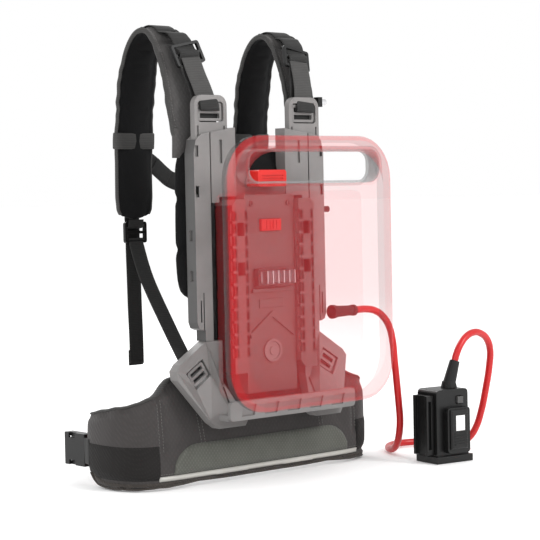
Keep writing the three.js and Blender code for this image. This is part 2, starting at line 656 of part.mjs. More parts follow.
// The cable leaves the frame sideways, falls, turns on the floor and arches over into the adapter.
const floorHeight = CABLE.diameter / 2 + 0.9;
const tip = new THREE.Vector3(...reliefTip);
tip.applyAxisAngle(new THREE.Vector3(0, 0, 1), THREE.MathUtils.degToRad(ADAPTER.turn));
tip.add(new THREE.Vector3(ADAPTER.x, ADAPTER.y, 0));
const lean = new THREE.Vector3(Math.sin(THREE.MathUtils.degToRad(RELIEF.lean)), 0,
  Math.cos(THREE.MathUtils.degToRad(RELIEF.lean)));
const cablePoints = [
  [GLAND.end + GAP, GLAND.y, GLAND.z], [190, -30, 223], [207, -31, 219.5], [221.8, -32.5, 210],
  [231.6, -34.5, 195], [235, -37, 178], [236.5, -40, 142], [237.5, -43.5, 104], [238, -46, 76],
  [238.5, -47, 56], [240, -43.6, 37], [245, -34, 20.8], [252.4, -19.5, 10.2], [261, -2.5, floorHeight],
  [278.7, 18, floorHeight], [306, 28, floorHeight], [334.5, 23, floorHeight], [357, 4.5, floorHeight],
  [367, -27, floorHeight], [369, -48, 8.5], [371, -64.5, 18.5], [373, -76, 35], [375, -84, 57],
  [377, -92.5, 92], [378, -100, 130], [375, -104.5, 152.5], [364.5, -108.5, 169.4], [347.6, -111.5, 180],
  [328, -113.8, 183], [309, -115.2, 176.8], [296.7, -115.9, 166.3],
  [tip.x + lean.x * 10, tip.y - 0.4, tip.z + lean.z * 10],
  [tip.x + lean.x * GAP, tip.y, tip.z + lean.z * GAP],
];

function cable() {
  const route = cablePoints.map((p) => new THREE.Vector3(...p));
  const curve = new THREE.CatmullRomCurve3(route, false, 'centripetal');
  const section = new THREE.Shape();
  section.absarc(0, 0, CABLE.diameter / 2, 0, Math.PI * 2);
  return new THREE.ExtrudeGeometry(section, {
    steps: 40, curveSegments: CABLE.sides, bevelEnabled: false, extrudePath: curve,
  });
}
add('power_cable', cable(), 'red');

export default object;
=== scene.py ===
import json
import math

import bmesh
import bpy
import numpy as np
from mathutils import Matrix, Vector
from mathutils.bvhtree import BVHTree


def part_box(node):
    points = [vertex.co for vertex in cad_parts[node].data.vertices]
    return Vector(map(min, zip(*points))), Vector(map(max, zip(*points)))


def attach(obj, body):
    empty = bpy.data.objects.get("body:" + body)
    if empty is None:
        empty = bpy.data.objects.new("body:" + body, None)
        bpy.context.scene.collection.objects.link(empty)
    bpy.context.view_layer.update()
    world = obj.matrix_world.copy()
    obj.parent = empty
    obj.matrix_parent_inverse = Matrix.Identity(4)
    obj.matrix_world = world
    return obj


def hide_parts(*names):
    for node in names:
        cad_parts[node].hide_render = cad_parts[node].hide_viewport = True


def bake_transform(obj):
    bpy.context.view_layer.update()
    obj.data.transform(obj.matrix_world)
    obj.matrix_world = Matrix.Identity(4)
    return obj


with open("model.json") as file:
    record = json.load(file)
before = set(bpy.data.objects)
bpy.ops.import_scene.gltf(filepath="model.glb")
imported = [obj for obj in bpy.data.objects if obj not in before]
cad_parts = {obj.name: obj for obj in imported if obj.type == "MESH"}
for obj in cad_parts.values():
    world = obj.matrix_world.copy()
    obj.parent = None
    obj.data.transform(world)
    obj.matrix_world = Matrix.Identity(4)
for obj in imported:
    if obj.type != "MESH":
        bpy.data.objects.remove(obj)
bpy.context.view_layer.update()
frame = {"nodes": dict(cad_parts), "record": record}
nodes = frame["nodes"]
record = frame["record"]

MM = 0.001
CENTRE_Y = -0.012  # the CAD group's shift along Y, which centres the box


def place(x, y, z):
    """A point of the CAD drawing, in millimetres, in the row frame."""
    return Vector((x * MM, y * MM + CENTRE_Y, z * MM))


def added(name, data):
    """A new object in the scene."""
    piece = bpy.data.objects.new(name, data)
    bpy.context.scene.collection.objects.link(piece)
    return piece


# ---------------- camera
camera = added("camera", bpy.data.cameras.new("camera"))
bpy.context.scene.camera = camera
CAMERA_AT = Vector((-1.586, -1.872, 0.396))
CAMERA_AIM = Vector((0.013, -0.032, 0.288))
CAMERA_ROLL = 1.2
camera.data.lens = 116
camera.data.sensor_width = 36
camera.location = CAMERA_AT
camera.rotation_euler = (CAMERA_AIM - CAMERA_AT).to_track_quat("-Z", "Y").to_euler()
camera.rotation_euler.rotate_axis("Z", math.radians(-CAMERA_ROLL))


# ---------------- materials
def blank(name):
    material = bpy.data.materials.new(name)
    material.use_nodes = True
    tree = material.node_tree
    tree.nodes.clear()
    output = tree.nodes.new("ShaderNodeOutputMaterial")
    shader = tree.nodes.new("ShaderNodeBsdfPrincipled")
    tree.links.new(shader.outputs["BSDF"], output.inputs["Surface"])
    coords = tree.nodes.new("ShaderNodeTexCoord")
    return material, tree, shader, coords.outputs["Object"]


def put(node, **values):
    """Sets a node's inputs. An underscore in a name stands for a space."""
    for name, value in values.items():
        node.inputs[name.replace("_", " ")].default_value = value


def noise(tree, vector, scale, detail=3.0):
    node = tree.nodes.new("ShaderNodeTexNoise")
    put(node, Scale=scale, Detail=detail)
    tree.links.new(vector, node.inputs["Vector"])
    return node.outputs["Fac"]


def wave(tree, vector, scale, turn, distortion=0.6):
    mapping = tree.nodes.new("ShaderNodeMapping")
    put(mapping, Rotation=turn)
    tree.links.new(vector, mapping.inputs["Vector"])
    node = tree.nodes.new("ShaderNodeTexWave")
    put(node, Scale=scale, Distortion=distortion, Detail_Scale=2.0)
    tree.links.new(mapping.outputs["Vector"], node.inputs["Vector"])
    return node.outputs["Fac"]


def spread(tree, value, low, high):
    node = tree.nodes.new("ShaderNodeMapRange")
    put(node, To_Min=low, To_Max=high)
    tree.links.new(value, node.inputs["Value"])
    return node.outputs["Result"]


def multiply(tree, a, b):
    node = tree.nodes.new("ShaderNodeMath")
    node.operation = "MULTIPLY"
    tree.links.new(a, node.inputs[0])
    tree.links.new(b, node.inputs[1])
    return node.outputs["Value"]


def tint(tree, shader, fac, dark, light):
    ramp = tree.nodes.new("ShaderNodeValToRGB")
    ramp.color_ramp.elements[0].position = 0.3
    ramp.color_ramp.elements[1].position = 0.72
    ramp.color_ramp.elements[0].color = (*dark, 1)
    ramp.color_ramp.elements[1].color = (*light, 1)
    tree.links.new(fac, ramp.inputs["Fac"])
    tree.links.new(ramp.outputs["Color"], shader.inputs["Base Color"])


def bump(tree, shader, height, strength, distance, edge=0.0):
    node = tree.nodes.new("ShaderNodeBump")
    put(node, Strength=strength, Distance=distance)
    tree.links.new(height, node.inputs["Height"])
    if edge:
        bevel = tree.nodes.new("ShaderNodeBevel")
        bevel.samples = 4
        put(bevel, Radius=edge)
        tree.links.new(bevel.outputs["Normal"], node.inputs["Normal"])
    tree.links.new(node.outputs["Normal"], shader.inputs["Normal"])


def shade(colour, factor):
    return tuple(min(1.0, c * factor) for c in colour)


def varied_roughness(tree, shader, at, scale, detail, low, high):
    tree.links.new(spread(tree, noise(tree, at, scale, detail), low, high), shader.inputs["Roughness"])


def plastic(name, colour, roughness, grain=900, depth=0.00012, edge=0.0, metallic=0.0, varied=0.1,
            specular=0.5):
    """A moulded or metal surface with a fine grain and edges that catch the light."""
    material, tree, shader, at = blank(name)
    cloud = noise(tree, at, 22, 4)
    tint(tree, shader, cloud, shade(colour, 1 - varied), shade(colour, 1 + varied))
    varied_roughness(tree, shader, at, 60, 5, roughness - 0.08, roughness + 0.08)
    put(shader, Metallic=metallic, Specular_IOR_Level=specular)
    bump(tree, shader, noise(tree, at, grain, 2), 0.35, depth, edge)
    return material


def cloth(name, colour, period=0.0022, sheen=0.16, contrast=0.28):
    """A plain weave from two crossed sets of ribs, over a soft unevenness."""
    material, tree, shader, at = blank(name)
    scale = 0.5 / period / 3.14
    one = wave(tree, at, scale, (0.6, 0.2, 0.78))
    two = wave(tree, at, scale, (0.2, -0.6, -0.78))
    weave = multiply(tree, one, two)
    cloud = noise(tree, at, 38, 5)
    mix = multiply(tree, spread(tree, weave, 0.62, 1.0), spread(tree, cloud, 0.55, 1.05))
    tint(tree, shader, mix, shade(colour, 1 - contrast), shade(colour, 1 + contrast))
    put(shader, Roughness=0.92, Sheen_Weight=sheen, Sheen_Roughness=0.5, Specular_IOR_Level=0.25)
    bump(tree, shader, weave, 0.55, 0.0004)
    return material


def air_mesh(name, colour):
    """Open spacer mesh: dark holes in a honeycomb of threads."""
    material, tree, shader, at = blank(name)
    cells = tree.nodes.new("ShaderNodeTexVoronoi")
    cells.feature = "DISTANCE_TO_EDGE"
    put(cells, Scale=330, Randomness=0.25)
    tree.links.new(at, cells.inputs["Vector"])
    holes = spread(tree, cells.outputs["Distance"], 0.75, 0.2)
    tint(tree, shader, holes, shade(colour, 0.35), shade(colour, 1.5))
    put(shader, Roughness=0.95, Sheen_Weight=0.04, Specular_IOR_Level=0.2)
    bump(tree, shader, holes, 0.6, 0.0008)
    return material


def ribbed(name, colour, turn):
    """Webbing: fine ribs across the strap."""
    material, tree, shader, at = blank(name)
    ribs = wave(tree, at, 130, turn, 0.3)
    mix = multiply(tree, spread(tree, ribs, 0.6, 1.0), spread(tree, noise(tree, at, 70, 4), 0.6, 1.1))
    tint(tree, shader, mix, shade(colour, 0.6), shade(colour, 1.5))
    put(shader, Roughness=0.7, Sheen_Weight=0.05, Specular_IOR_Level=0.35)
    bump(tree, shader, ribs, 0.5, 0.0003)
    return material


def ghost(name, colour, alpha):
    """A see-through shell, tinted, with a faint unevenness in the gloss."""
    material, tree, shader, at = blank(name)
    tint(tree, shader, noise(tree, at, 9, 3), shade(colour, 0.94), shade(colour, 1.05))
    varied_roughness(tree, shader, at, 40, 3, 0.17, 0.3)
    put(shader, Alpha=alpha, Specular_IOR_Level=0.25)
    bump(tree, shader, noise(tree, at, 700, 2), 0.15, 0.0001)
    return material


RIBS_UP, RIBS_ACROSS = (0.0, 1.57, 0.0), (0.0, 0.0, 0.0)  # ribs follow each other along Z, or along X
WEBBING_BLACK = (0.009, 0.0088, 0.0085)
GHOST_RED = (0.64, 0.05, 0.055)
MAT = {
    "frame": plastic("frame_plastic", (0.19, 0.181, 0.177), 0.46, edge=0.0012),
    "dark": plastic("dark_plastic", (0.055, 0.054, 0.053), 0.45, edge=0.001),
    "black": plastic("black_plastic", (0.006, 0.006, 0.006), 0.36, edge=0.0009, varied=0.2, specular=0.32),
    "rubber": plastic("black_rubber", (0.008, 0.008, 0.008), 0.6, grain=500, varied=0.2, specular=0.3),
    "steel": plastic("steel", (0.62, 0.62, 0.63), 0.3, metallic=1.0, grain=1500, depth=0.00005),
    "red": plastic("red_plastic", (0.72, 0.02, 0.015), 0.34, edge=0.001),
    "cable": plastic("cable_jacket", (0.5, 0.006, 0.007), 0.34, grain=300, depth=0.00008, specular=0.45),
    "outer": cloth("outer_fabric", (0.062, 0.059, 0.058), contrast=0.14),
    "belt": cloth("belt_fabric", (0.043, 0.039, 0.038), contrast=0.12),
    "belt_end": cloth("belt_end_fabric", (0.012, 0.0108, 0.0104), period=0.0018, sheen=0.06),
    "mesh": air_mesh("spacer_mesh", (0.0035, 0.0035, 0.0038)),
    "panel": cloth("pocket_fabric", (0.088, 0.09, 0.078), period=0.0018),
    "piping": cloth("piping_fabric", (0.04, 0.034, 0.03), period=0.0016),
    "lining": cloth("red_lining", (0.52, 0.012, 0.03), period=0.0018),
    "binding": ribbed("edge_binding", (0.03, 0.029, 0.028), RIBS_UP),
    "strap": ribbed("webbing", WEBBING_BLACK, RIBS_UP),
    "strap_light": ribbed("webbing_tail", (0.034, 0.033, 0.032), RIBS_UP),
    "strap_across": ribbed("webbing_across", WEBBING_BLACK, RIBS_ACROSS),
    "reflective": plastic("reflective_tape", (0.42, 0.41, 0.38), 0.38, grain=1400, depth=0.0001,
                          specular=0.7),
    "thread": plastic("thread", (0.12, 0.115, 0.11), 0.8, grain=2500),
    "label": plastic("blank_label", (0.8, 0.8, 0.79), 0.5, grain=1200, depth=0.00004, varied=0.03),
    "ghost_face": ghost("ghost_face", GHOST_RED, 0.14),
    "ghost_back": ghost("ghost_back", GHOST_RED, 0.11),
    "ghost_mid": ghost("ghost_mid", (0.68, 0.03, 0.035), 0.21),
    "ghost_rim": ghost("ghost_rim", (0.74, 0.016, 0.022), 0.33),
    # painted shade: a near black copy of the see-through shell, for its side walls and the wall round its
    # grip hole
    "ghost_side_shade": ghost("ghost_side_shade", (0.06, 0.055, 0.055), 0.3),
    "ghost_rear": ghost("ghost_rear", (0.8, 0.05, 0.06), 0.045),
    "ghost_grey": ghost("ghost_grey", (0.26, 0.26, 0.26), 0.4),
    "dock": plastic("dock_plastic", (0.1, 0.095, 0.092), 0.5, edge=0.0012),
    # painted shade: near black for the floor of the groove down each rail's front
    "recess": plastic("recess_plastic", (0.03, 0.03, 0.03), 0.55),
    # painted shade: a darker copy of the frame plastic, for the rails' outward side faces
    "frame_side_shade": plastic("frame_side_painted_shade", (0.07, 0.068, 0.067), 0.5, edge=0.001),
    # painted shade: near black for the dock channels' outer side faces and for the plates in their slots
    "channel_shade": plastic("channel_painted_shade", (0.008, 0.0078, 0.0078), 0.6, specular=0.2),
}
SLOT_MATERIAL = {
    "frame_plastic": "frame", "dark_plastic": "dark", "black_plastic": "black", "black_rubber": "rubber",
    "steel": "steel", "padded_fabric": "outer", "webbing": "strap", "red_plastic": "red",
    "battery_shell": "ghost_face", "cell_can": "steel", "circuit_board": "dark", "cable_jacket": "cable",
}
for part in record["subparts"]:
    node = nodes[part["node"]]
    node.data.materials.clear()
    node.data.materials.append(MAT[SLOT_MATERIAL[part["material_slot"]]])

SIDEWAYS = 0.8  # a face looks sideways if its normal's X is beyond this
CHANNEL_OUTER_X, RAIL_OUTER_X = 70, 100
GROOVE_X, GROOVE_TOP, GROOVE_DEPTH = (76, 90.5), 395, 1.5  # the groove down a rail's front
for side in ("left", "right"):
    nodes[f"{side}_dock_screw"].data.materials[0] = MAT["dark"]
    channel = nodes[f"{side}_dock_channel"].data
    channel.materials[0] = MAT["dock"]
    # the channels' outer side faces get painted shade
    channel.materials.append(MAT["channel_shade"])
    for face in channel.polygons:
        if abs(face.normal.x) > SIDEWAYS and abs(face.center.x) / MM > CHANNEL_OUTER_X:
            face.material_index = 1
    rail = nodes[f"{side}_rail"].data
    # the groove's floor gets painted shade
    rail.materials.append(MAT["recess"])
    # the rails' outward side faces get painted shade
    rail.materials.append(MAT["frame_side_shade"])
    groove_y = min(v.co.y for v in rail.vertices) + GROOVE_DEPTH * MM
    for face in rail.polygons:
        x, z = abs(face.center.x) / MM, face.center.z / MM
        in_groove = GROOVE_X[0] < x < GROOVE_X[1] and z < GROOVE_TOP
        if in_groove and face.center.y > groove_y and face.normal.y < -0.5:
            face.material_index = 1
        elif abs(face.normal.x) > SIDEWAYS and x > RAIL_OUTER_X:
            face.material_index = 2
nodes["dock_panel"].data.materials[0] = MAT["dock"]


# ---------------- building helpers
def unit(v):
    v = np.asarray(v, float)
    length = np.linalg.norm(v, axis=-1, keepdims=True)
    return v / np.where(length < 1e-12, 1, length)


def smooth_line(points, count):
    """Evenly spaced points on the smooth line through the given ones."""
    p = np.array(points, float)
    p = np.vstack([2 * p[0] - p[1], p, 2 * p[-1] - p[-2]])
    fine = []
    for i in range(1, len(p) - 2):
        a, b, c, d = p[i - 1], p[i], p[i + 1], p[i + 2]
        for t in np.linspace(0, 1, 24, endpoint=False):
            fine.append(0.5 * (2 * b + (c - a) * t + (2 * a - 5 * b + 4 * c - d) * t * t
                               + (3 * b - a - 3 * c + d) * t ** 3))
    fine.append(p[-2])
    fine = np.array(fine)
    run = np.r_[0, np.cumsum(np.linalg.norm(np.diff(fine, axis=0), axis=1))]
    at = np.linspace(0, run[-1], count)
    return np.column_stack([np.interp(at, run, fine[:, k]) for k in range(fine.shape[1])])


def root_piece(piece):
    """A piece that rides on the frame."""
    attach(piece, "root")
    return piece


def smoothstep(x, low, high):
    t = np.clip((x - low) / (high - low), 0, 1)
    return t * t * (3 - 2 * t)


def make(name, verts, faces, material, smooth=True):
    data = bpy.data.meshes.new(name)
    corners = [tuple(float(c) for c in v) for v in verts]
    data.from_pydata(corners, [], [tuple(int(i) for i in f) for f in faces])
    solid = bmesh.new()
    solid.from_mesh(data)
    bmesh.ops.recalc_face_normals(solid, faces=solid.faces)
    solid.to_mesh(data)
    solid.free()
    data.materials.append(material)
    data.polygons.foreach_set("use_smooth", [smooth] * len(data.polygons))
    return added(name, data)


def loft(name, rings, material, smooth=True):
    """A closed solid through rings of points."""
    count = len(rings[0])
    verts = [p for ring in rings for p in ring]
    faces = []
    for i in range(len(rings) - 1):
        a, b = i * count, (i + 1) * count
        faces += [(a + j, a + (j + 1) % count, b + (j + 1) % count, b + j) for j in range(count)]
    last = (len(rings) - 1) * count
    faces.append(tuple(range(count)))
    faces.append(tuple(last + j for j in range(count)))
    return make(name, verts, faces, material, smooth)


BAND = [(-1, 0), (-0.97, 0.6), (-0.9, 0.95), (-0.4, 1), (0.4, 1), (0.9, 0.95), (0.97, 0.6),
        (1, 0), (0.97, -0.6), (0.9, -0.95), (0.4, -1), (-0.4, -1), (-0.9, -0.95), (-0.97, -0.6)]
ROUND = [(math.cos(a), math.sin(a)) for a in np.linspace(0, 2 * math.pi, 12, endpoint=False)]


def squared(cos_power, sin_power, count):
    """Points round a section that is an ellipse at powers of 1 and a box near 0."""
    def bent(value, power):
        return math.copysign(abs(value) ** power, value)

    return [(bent(math.cos(a), cos_power), bent(math.sin(a), sin_power))
            for a in np.linspace(0, 2 * math.pi, count, endpoint=False)]


def rings_along(points, normals, width, thickness, section):
    """Sections along a line, flat sides facing the normals. Width and thickness may vary along it."""
    points = np.array(points, float)
    tangents = unit(np.gradient(points, axis=0))
    across = unit(np.cross(tangents, np.array(normals, float)))
    up = unit(np.cross(across, tangents))
    width = np.broadcast_to(width, len(points))
    thickness = np.broadcast_to(thickness, len(points))
    return [[p + a * u * w / 2 + n * v * t / 2 for u, v in section]
            for p, a, n, w, t in zip(points, across, up, width, thickness)]


def webbing(name, points, normals, width, thickness, material):
    return loft(name, rings_along(points, normals, width, thickness, BAND), material)


def sampled(rows, k):
    """Each column of a table at a row number k that may lie between rows."""
    return [np.interp(k, np.arange(len(rows)), column) for column in rows.T]


def softened(points):
    """Each point averaged with its neighbours."""
    return [(a + b + c) / 3 for a, b, c in zip(points[:1] + points, points, points[1:] + points[-1:])]


def ridge(distance, width):
    """1 on a seam, falling to 0 some widths away from it."""
    return np.exp(-(distance / width) ** 2)


def tree_of(piece):
    return BVHTree.FromPolygons([v.co.copy() for v in piece.data.vertices],
                                [tuple(p.vertices) for p in piece.data.polygons])


def onto(tree, point, outward, reach=0.05):
    """The point of the padding's surface that a ray towards it meets."""
    point, outward = Vector(point), Vector(outward).normalized()
    hit = tree.ray_cast(point + outward * reach, -outward, 2 * reach)[0]
    if hit is None:
        hit = tree.find_nearest(point)[0]
    return hit


def laid(name, tree, grid, lift, material, sink=0.0015):
    """A closed patch that follows the padding under it, from rows of points and their outward ways."""
    rows, cols = len(grid), len(grid[0])
    top, bottom = [], []
    for i in range(rows):
        for j in range(cols):
            point, out = grid[i][j]
            hit = onto(tree, point, out)
            rim = 0.35 if i in (0, rows - 1) or j in (0, cols - 1) else 1.0
            top.append(hit + out * lift * rim)
            bottom.append(hit - out * sink)
    size = rows * cols
    faces = []
    for i in range(rows - 1):
        for j in range(cols - 1):
            a = i * cols + j
            faces.append((a, a + 1, a + cols + 1, a + cols))
            faces.append((size + a, size + a + cols, size + a + cols + 1, size + a + 1))
    edge = list(range(cols)) + [i * cols + cols - 1 for i in range(1, rows)]
    edge += [(rows - 1) * cols + j for j in range(cols - 2, -1, -1)]
    edge += [i * cols for i in range(rows - 2, 0, -1)]
    for a, b in zip(edge, edge[1:] + edge[:1]):
        faces.append((a, b, size + b, size + a))
    return make(name, top + bottom, faces, material)


def stitches(name, tree, line, pitch=0.0042, length=0.003, width=0.0005, material="thread"):
    """Thread stitches laid on the padding, along a line of points and their outward ways."""
    buried, raised = 0.0008, 0.0007
    points = np.array([p for p, _ in line], float)
    run = np.r_[0, np.cumsum(np.linalg.norm(np.diff(points, axis=0), axis=1))]
    verts, faces = [], []
    for start in np.arange(pitch, run[-1] - pitch, pitch):
        ends = []
        for at in (start, start + length):
            p = Vector([np.interp(at, run, points[:, k]) for k in range(3)])
            k = min(int(np.searchsorted(run, at)), len(points) - 1)
            out = line[k][1]
            ends.append((onto(tree, p, out), out))
        (a, out), (b, _) = ends
        along = (b - a).normalized()
        side = along.cross(out).normalized() * width
        base = len(verts)
        for p, rise in ((a, 0.0001), ((a + b) / 2, raised), (b, 0.0001)):
            verts += [p - side - out * buried, p + side - out * buried]
            verts += [p + side * 0.6 + out * rise, p - side * 0.6 + out * rise]
        for i in (base, base + 4):
            faces += [(i + j, i + (j + 1) % 4, i + 4 + (j + 1) % 4, i + 4 + j) for j in range(4)]
        faces += [(base, base + 1, base + 2, base + 3), (base + 8, base + 9, base + 10, base + 11)]
    return make(name, verts, faces, MAT[material])


def flipped(piece):
    """Moves a piece to the other side of the harness."""
    for v in piece.data.vertices:
        v.co.x = -v.co.x
    piece.data.flip_normals()
    return piece


def mirrored(piece, name):
    """A copy on the other side of the harness."""
    return flipped(added(name, piece.data.copy()))


def applied(piece):
    data = bpy.data.meshes.new_from_object(piece.evaluated_get(bpy.context.evaluated_depsgraph_get()))
    piece.modifiers.clear()
    piece.data = data


def remeshed(piece, voxel):
    modifier = piece.modifiers.new("remesh", "REMESH")
    modifier.mode = "VOXEL"
    modifier.voxel_size = voxel
    applied(piece)


def positions(piece):
    co = np.zeros(len(piece.data.vertices) * 3)
    piece.data.vertices.foreach_get("co", co)
    return co.reshape(-1, 3)


SEAM_SINK = 0.0045  # how far inside the surface a seam starts, in metres


def stuff(pads, frames=20):
    """Blows up each pad as closed cloth between its seams. pads holds (piece, pressure, cap, seam)."""
    before = []
    for piece, pressure, cap, seam in pads:
        co = positions(piece)
        near = seam(co)
        normals = np.array([v.normal for v in piece.data.vertices])
        co = co - normals * (near * SEAM_SINK)[:, None]
        piece.data.vertices.foreach_set("co", co.ravel())
        before.append(co)
        group = piece.vertex_groups.new(name="seam")
        group.add([int(i) for i in np.nonzero(near > 0.6)[0]], 1.0, "REPLACE")
        modifier = piece.modifiers.new("cloth", "CLOTH")
        settings = modifier.settings
        settings.quality = 4
        settings.mass = 0.3
        settings.tension_stiffness = 12
        settings.compression_stiffness = 12
        settings.shear_stiffness = 6
        settings.bending_stiffness = 0.3
        settings.use_pressure = True
        settings.uniform_pressure_force = pressure
        settings.effector_weights.gravity = 0
        settings.vertex_group_mass = "seam"
        modifier.collision_settings.use_collision = False
        modifier.point_cache.frame_start = 1
        modifier.point_cache.frame_end = frames
    for number in range(1, frames + 1):
        bpy.context.scene.frame_set(number)
    for (piece, _, cap, _), co in zip(pads, before):
        applied(piece)
        moved = positions(piece) - co
        reach = np.linalg.norm(moved, axis=1, keepdims=True)
        moved *= np.minimum(1, cap / np.maximum(reach, 1e-9))
        piece.data.vertices.foreach_set("co", (co + moved).ravel())
        piece.modifiers.new("smooth", "SUBSURF").levels = 1
        applied(piece)
        piece.data.polygons.foreach_set("use_smooth", [True] * len(piece.data.polygons))
        piece.vertex_groups.clear()
    bpy.context.scene.frame_set(1)


# ---------------- cable
FLOOR_Z = 10.5 / 2 + 0.9
CABLE_ROUTE = [
    (165.3, -30, 223), (190, -30, 223), (207, -31, 219.5), (221.8, -32.5, 210), (231.6, -34.5, 195),
    (235, -37, 178), (236.5, -40, 142), (237.5, -43.5, 104), (238, -46, 76), (238.5, -47, 56),
    (240, -43.6, 37), (245, -34, 20.8), (252.4, -19.5, 10.2), (261, -2.5, FLOOR_Z), (278.7, 18, FLOOR_Z),
    (306, 28, FLOOR_Z), (334.5, 23, FLOOR_Z), (357, 4.5, FLOOR_Z), (367, -27, FLOOR_Z), (369, -48, 8.5),
    (371, -64.5, 18.5), (373, -76, 35), (375, -84, 57), (377, -92.5, 92), (378, -100, 130),
    (375, -104.5, 152.5), (364.5, -108.5, 169.4), (347.6, -111.5, 180), (328, -113.8, 183),
    (309, -115.2, 176.8), (296.7, -115.9, 166.3), (288.82, -115.69, 153.65), (285.50, -115.29, 144.53)]
CABLE_DIAMETER = 0.0105
curve = bpy.data.curves.new("power_cord", "CURVE")
curve.dimensions = "3D"
curve.bevel_depth = CABLE_DIAMETER / 2
curve.bevel_resolution = 6
curve.resolution_u = 10
curve.use_fill_caps = True
spline = curve.splines.new("BEZIER")
spline.bezier_points.add(len(CABLE_ROUTE) - 1)
for point, at in zip(spline.bezier_points, CABLE_ROUTE):
    point.co = place(*at)
    point.handle_left_type = point.handle_right_type = "AUTO"
power_cord = added("power_cord", curve)
curve.materials.append(MAT["cable"])
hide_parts("power_cable")
root_piece(power_cord)


# ---------------- shoulder straps
STRAP_X, STRAP_WIDTH, STRAP_THICKNESS = 108, 66, 15
STRAP_LINE = [(10, 470), (13, 500), (20, 540), (30, 575), (42, 602), (60, 622), (84, 620), (105, 597),
              (118, 560), (127, 500), (131, 440), (132, 362)]
STRAP_NECK = 0.85  # the strap's width where it leaves the frame, as a share of its width over the chest
STRAP_SWELL = 2.2  # what each face gains when the strap is blown up
STRAP_EDGE_SEAM = 0.7  # the seams along the strap, as a share of its half width
STRAP_CROSS_SEAMS = (0.3, 0.52, 0.66, 0.95)
STRAP_LENGTH = 520  # for the widths of the cross seams
STRAP_CLEAR, BELT_CLEAR = 10, 14  # millimetres out, where rays towards the padding start
STRAP_STATIONS = 120
strap_line = smooth_line(STRAP_LINE, STRAP_STATIONS)
strap_along = unit(np.gradient(strap_line, axis=0))
strap_out = np.column_stack([-strap_along[:, 1], strap_along[:, 0]])


def strap_half(s):
    """Half the strap's width in millimetres at a share s of its length."""
    end = np.clip((1 - s) / 0.055, 0, 1)
    start = np.clip(s / 0.08, 0, 1)
    neck = STRAP_NECK + (1 - STRAP_NECK) * smoothstep(s, 0.22, 0.6)
    return STRAP_WIDTH / 2 * (0.45 + 0.55 * np.sqrt(1 - (1 - end) ** 2)) * (0.8 + 0.2 * start) * neck


def strap_at(s, u, v=0.0):
    """A point of the right strap and the way out there: s along it, u across from -1 to 1, v mm out."""
    k = s * (STRAP_STATIONS - 1)
    (y, z), (oy, oz) = sampled(strap_line, k), sampled(strap_out, k)
    return place(STRAP_X + u * strap_half(s), y + oy * v, z + oz * v), Vector((0, oy, oz)).normalized()


def strap_body():
    half = STRAP_THICKNESS / 2 - STRAP_SWELL
    rings = []
    for s in np.linspace(0, 1, 90):
        end = min(1.0, (1 - s) / 0.02 + 0.35, s / 0.02 + 0.5)
        rings.append([strap_at(s, u * 0.97, v * end * half)[0] for u, v in squared(0.55, 0.8, 28)])
    return loft("right_strap_pad", rings, MAT["outer"])


def nearest_station(co, line):
    """Index of the nearest point of a flat line for each point."""
    found = np.zeros(len(co), int)
    for i in range(0, len(co), 4000):
        chunk = co[i:i + 4000, None, :] - line[None, :, :]
        found[i:i + 4000] = np.argmin((chunk ** 2).sum(-1), axis=1)
    return found


strap_line_m = strap_line * MM + np.array([CENTRE_Y, 0])


def strap_seam(co):
    """How near each point is to the seams along the strap and, on its outer face, across it."""
    k = nearest_station(co[:, 1:], strap_line_m)
    s = k / (STRAP_STATIONS - 1)
    u = np.abs(co[:, 0] / MM - STRAP_X) / strap_half(s)
    outer = ((co[:, 1:] - strap_line_m[k]) * strap_out[k]).sum(1)
    edge = ridge((u - STRAP_EDGE_SEAM) * STRAP_WIDTH / 2, 2.6)
    cross = np.zeros(len(co))
    for at in STRAP_CROSS_SEAMS:
        cross = np.maximum(cross, ridge((s - at) * STRAP_LENGTH, 3.0))
    return np.where(outer > 0, np.maximum(edge, cross), edge * 0.6)


# ---------------- hip belt
BELT_SIDE = [(0, -12), (100, -12), (165, -9), (200, 4), (216, 30), (218, 68), (212, 108)]
BELT_STATIONS = 240
BELT_END_Y = 108
BELT_HALF_THICKNESS = 9
belt_line = smooth_line([(-x, y) for x, y in BELT_SIDE[:0:-1]] + BELT_SIDE, BELT_STATIONS)
belt_along = unit(np.gradient(belt_line, axis=0))
belt_out = np.column_stack([belt_along[:, 1], -belt_along[:, 0]])
belt_run = np.r_[0, np.cumsum(np.linalg.norm(np.diff(belt_line, axis=0), axis=1))]
BELT_LENGTH = belt_run[-1]


BELT_TOP, BELT_SIDE_DROP, BELT_END_DROP = 150, 31, 20
BELT_END_RISE, BELT_END_ROUND = 42, 16  # how far the corners of the belt's ends are cut back
BELT_LEAN = 0.17  # the belt's back leans towards the wearer by this share of its height


def belt_heights(s):
    """The belt's lowest and highest Z in millimetres at a share s of its length."""
    x, y = sampled(belt_line, np.asarray(s) * (BELT_STATIONS - 1))
    turn = smoothstep(np.abs(x), 130, 215)
    top = BELT_TOP - BELT_SIDE_DROP * turn - BELT_END_DROP * np.clip(y / BELT_END_Y, 0, 1) * turn
    left = np.minimum(s, 1 - np.asarray(s)) * BELT_LENGTH
    under = 1 - np.clip(left / 60, 0, 1)
    over = 1 - np.clip(left / BELT_END_ROUND, 0, 1)
    low = BELT_END_RISE * (1 - np.sqrt(1 - 0.95 * under ** 2))
    return low, top - BELT_END_ROUND * (1 - np.sqrt(1 - over ** 2))


def belt_at(s, h, out=0.0):
    """A point of the belt and the way out there: s along it from the left end, h up it, out mm out."""
    k = s * (BELT_STATIONS - 1)
    (x, y), (ox, oy) = sampled(belt_line, k), sampled(belt_out, k)
    low, high = belt_heights(s)
    z = low + (high - low) * h
    lean = BELT_LEAN * z * (1 - smoothstep(abs(x), 140, 200))
    return place(x + ox * out, y + oy * out + lean, z), Vector((ox, oy, 0)).normalized()


def belt_z(s, z):
    """The share of the belt's height at a height z in millimetres."""
    low, high = belt_heights(s)
    return float(np.clip((z - low) / (high - low), 0.01, 0.99))


